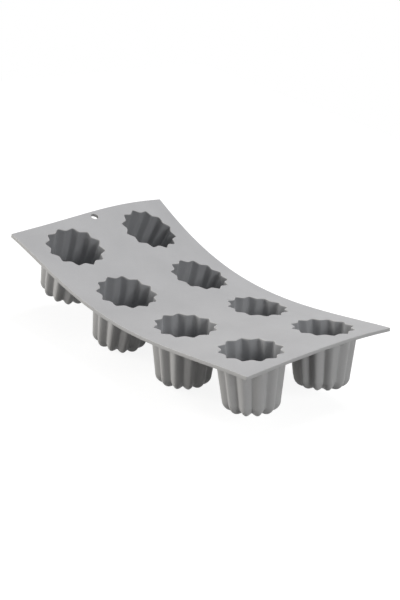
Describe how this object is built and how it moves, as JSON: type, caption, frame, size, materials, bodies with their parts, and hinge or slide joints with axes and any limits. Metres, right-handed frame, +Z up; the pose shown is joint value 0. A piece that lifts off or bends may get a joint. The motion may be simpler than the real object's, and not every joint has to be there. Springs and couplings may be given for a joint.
{
  "type": "flexible fluted baking mould",
  "caption": "Flexible grey silicone baking mould: deep fluted cups hang in rows under a thin rectangular sheet that bends between the rows.",
  "frame": {"origin": "on the surface that the mould stands on, under the middle of its bounding box, in the bent pose of the picture", "axes": "+X along the sheet, away from the end with the hanging hole; +Y across the sheet to its back edge; +Z up, out of the cups"},
  "size_m": [0.297, 0.1772, 0.0865],
  "materials": {
    "sheet_silicone": "matte silicone, light cool grey",
    "cup_silicone": "matte silicone, light grey"
  },
  "bodies": {
    "row_1": {"sheet_row_1": "sheet_silicone", "cup_front_1": "cup_silicone", "cup_back_1": "cup_silicone"},
    "row_2": {"sheet_row_2": "sheet_silicone", "web_1_2": "sheet_silicone", "cup_front_2": "cup_silicone", "cup_back_2": "cup_silicone"},
    "row_3": {"sheet_row_3": "sheet_silicone", "web_2_3": "sheet_silicone", "web_3_4": "sheet_silicone", "cup_front_3": "cup_silicone", "cup_back_3": "cup_silicone"},
    "row_4": {"sheet_row_4": "sheet_silicone", "cup_front_4": "cup_silicone", "cup_back_4": "cup_silicone"}
  },
  "joints": [
    {"name": "flex_3_4", "type": "hinge", "parent": "row_3", "child": "row_4", "pos_m": [0.07396, 0.00052, 0.05544], "axis": [-0.0006, -1, -0.0059], "range_deg": [-34, 54], "stiffness_Nm_per_rad": 3, "deforming": ["web_3_4"]},
    {"name": "flex_2_3", "type": "hinge", "parent": "row_3", "child": "row_2", "pos_m": [-0.00053, 0.00047, 0.04867], "axis": [0.001, 1, 0.0007], "range_deg": [-42, 46], "stiffness_Nm_per_rad": 3, "deforming": ["web_2_3"]},
    {"name": "flex_1_2", "type": "hinge", "parent": "row_2", "child": "row_1", "pos_m": [-0.07455, 0.00004, 0.05787], "axis": [0.0017, 1, 0.0073], "range_deg": [-40, 48], "stiffness_Nm_per_rad": 3, "deforming": ["web_1_2"]}
  ]
}
